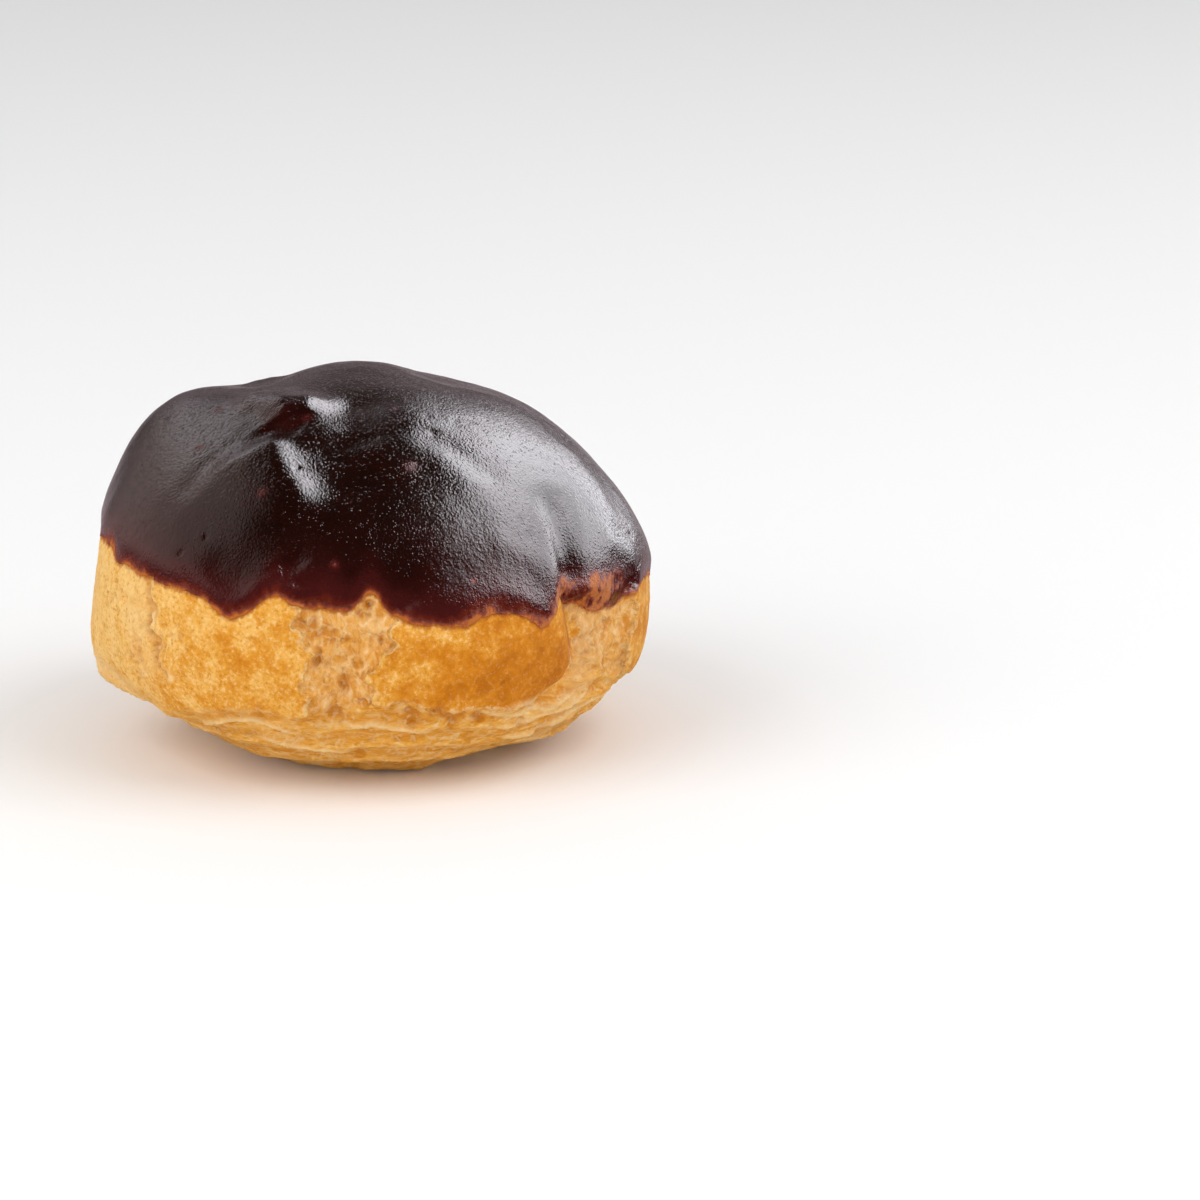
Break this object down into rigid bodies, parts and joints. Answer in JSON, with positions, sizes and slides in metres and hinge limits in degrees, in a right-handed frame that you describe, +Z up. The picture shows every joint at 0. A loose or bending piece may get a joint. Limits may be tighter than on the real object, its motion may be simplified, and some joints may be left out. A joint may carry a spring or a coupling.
{
  "type": "profiterole",
  "caption": "Round choux bun with golden, torn crust plates over a stretched paler underside, its top dipped in dark chocolate glaze with a wavy lower edge.",
  "frame": {"origin": "middle of the footprint, on the surface that it rests on", "axes": "+Z up out of the crown, +X along its greatest width, -Y out of the side seen best, with the wide central tear"},
  "size_m": [0.062, 0.0574, 0.0411],
  "materials": {
    "crust": "baked choux crust, golden brown, dry and finely mottled, paler and fibrous in its tears",
    "glaze": "set dark chocolate glaze, satin gloss with fine orange peel, thin and reddish at its lower edge"
  },
  "bodies": {
    "root": {"choux_bun": "crust", "chocolate_glaze": "glaze"}
  },
  "joints": []
}
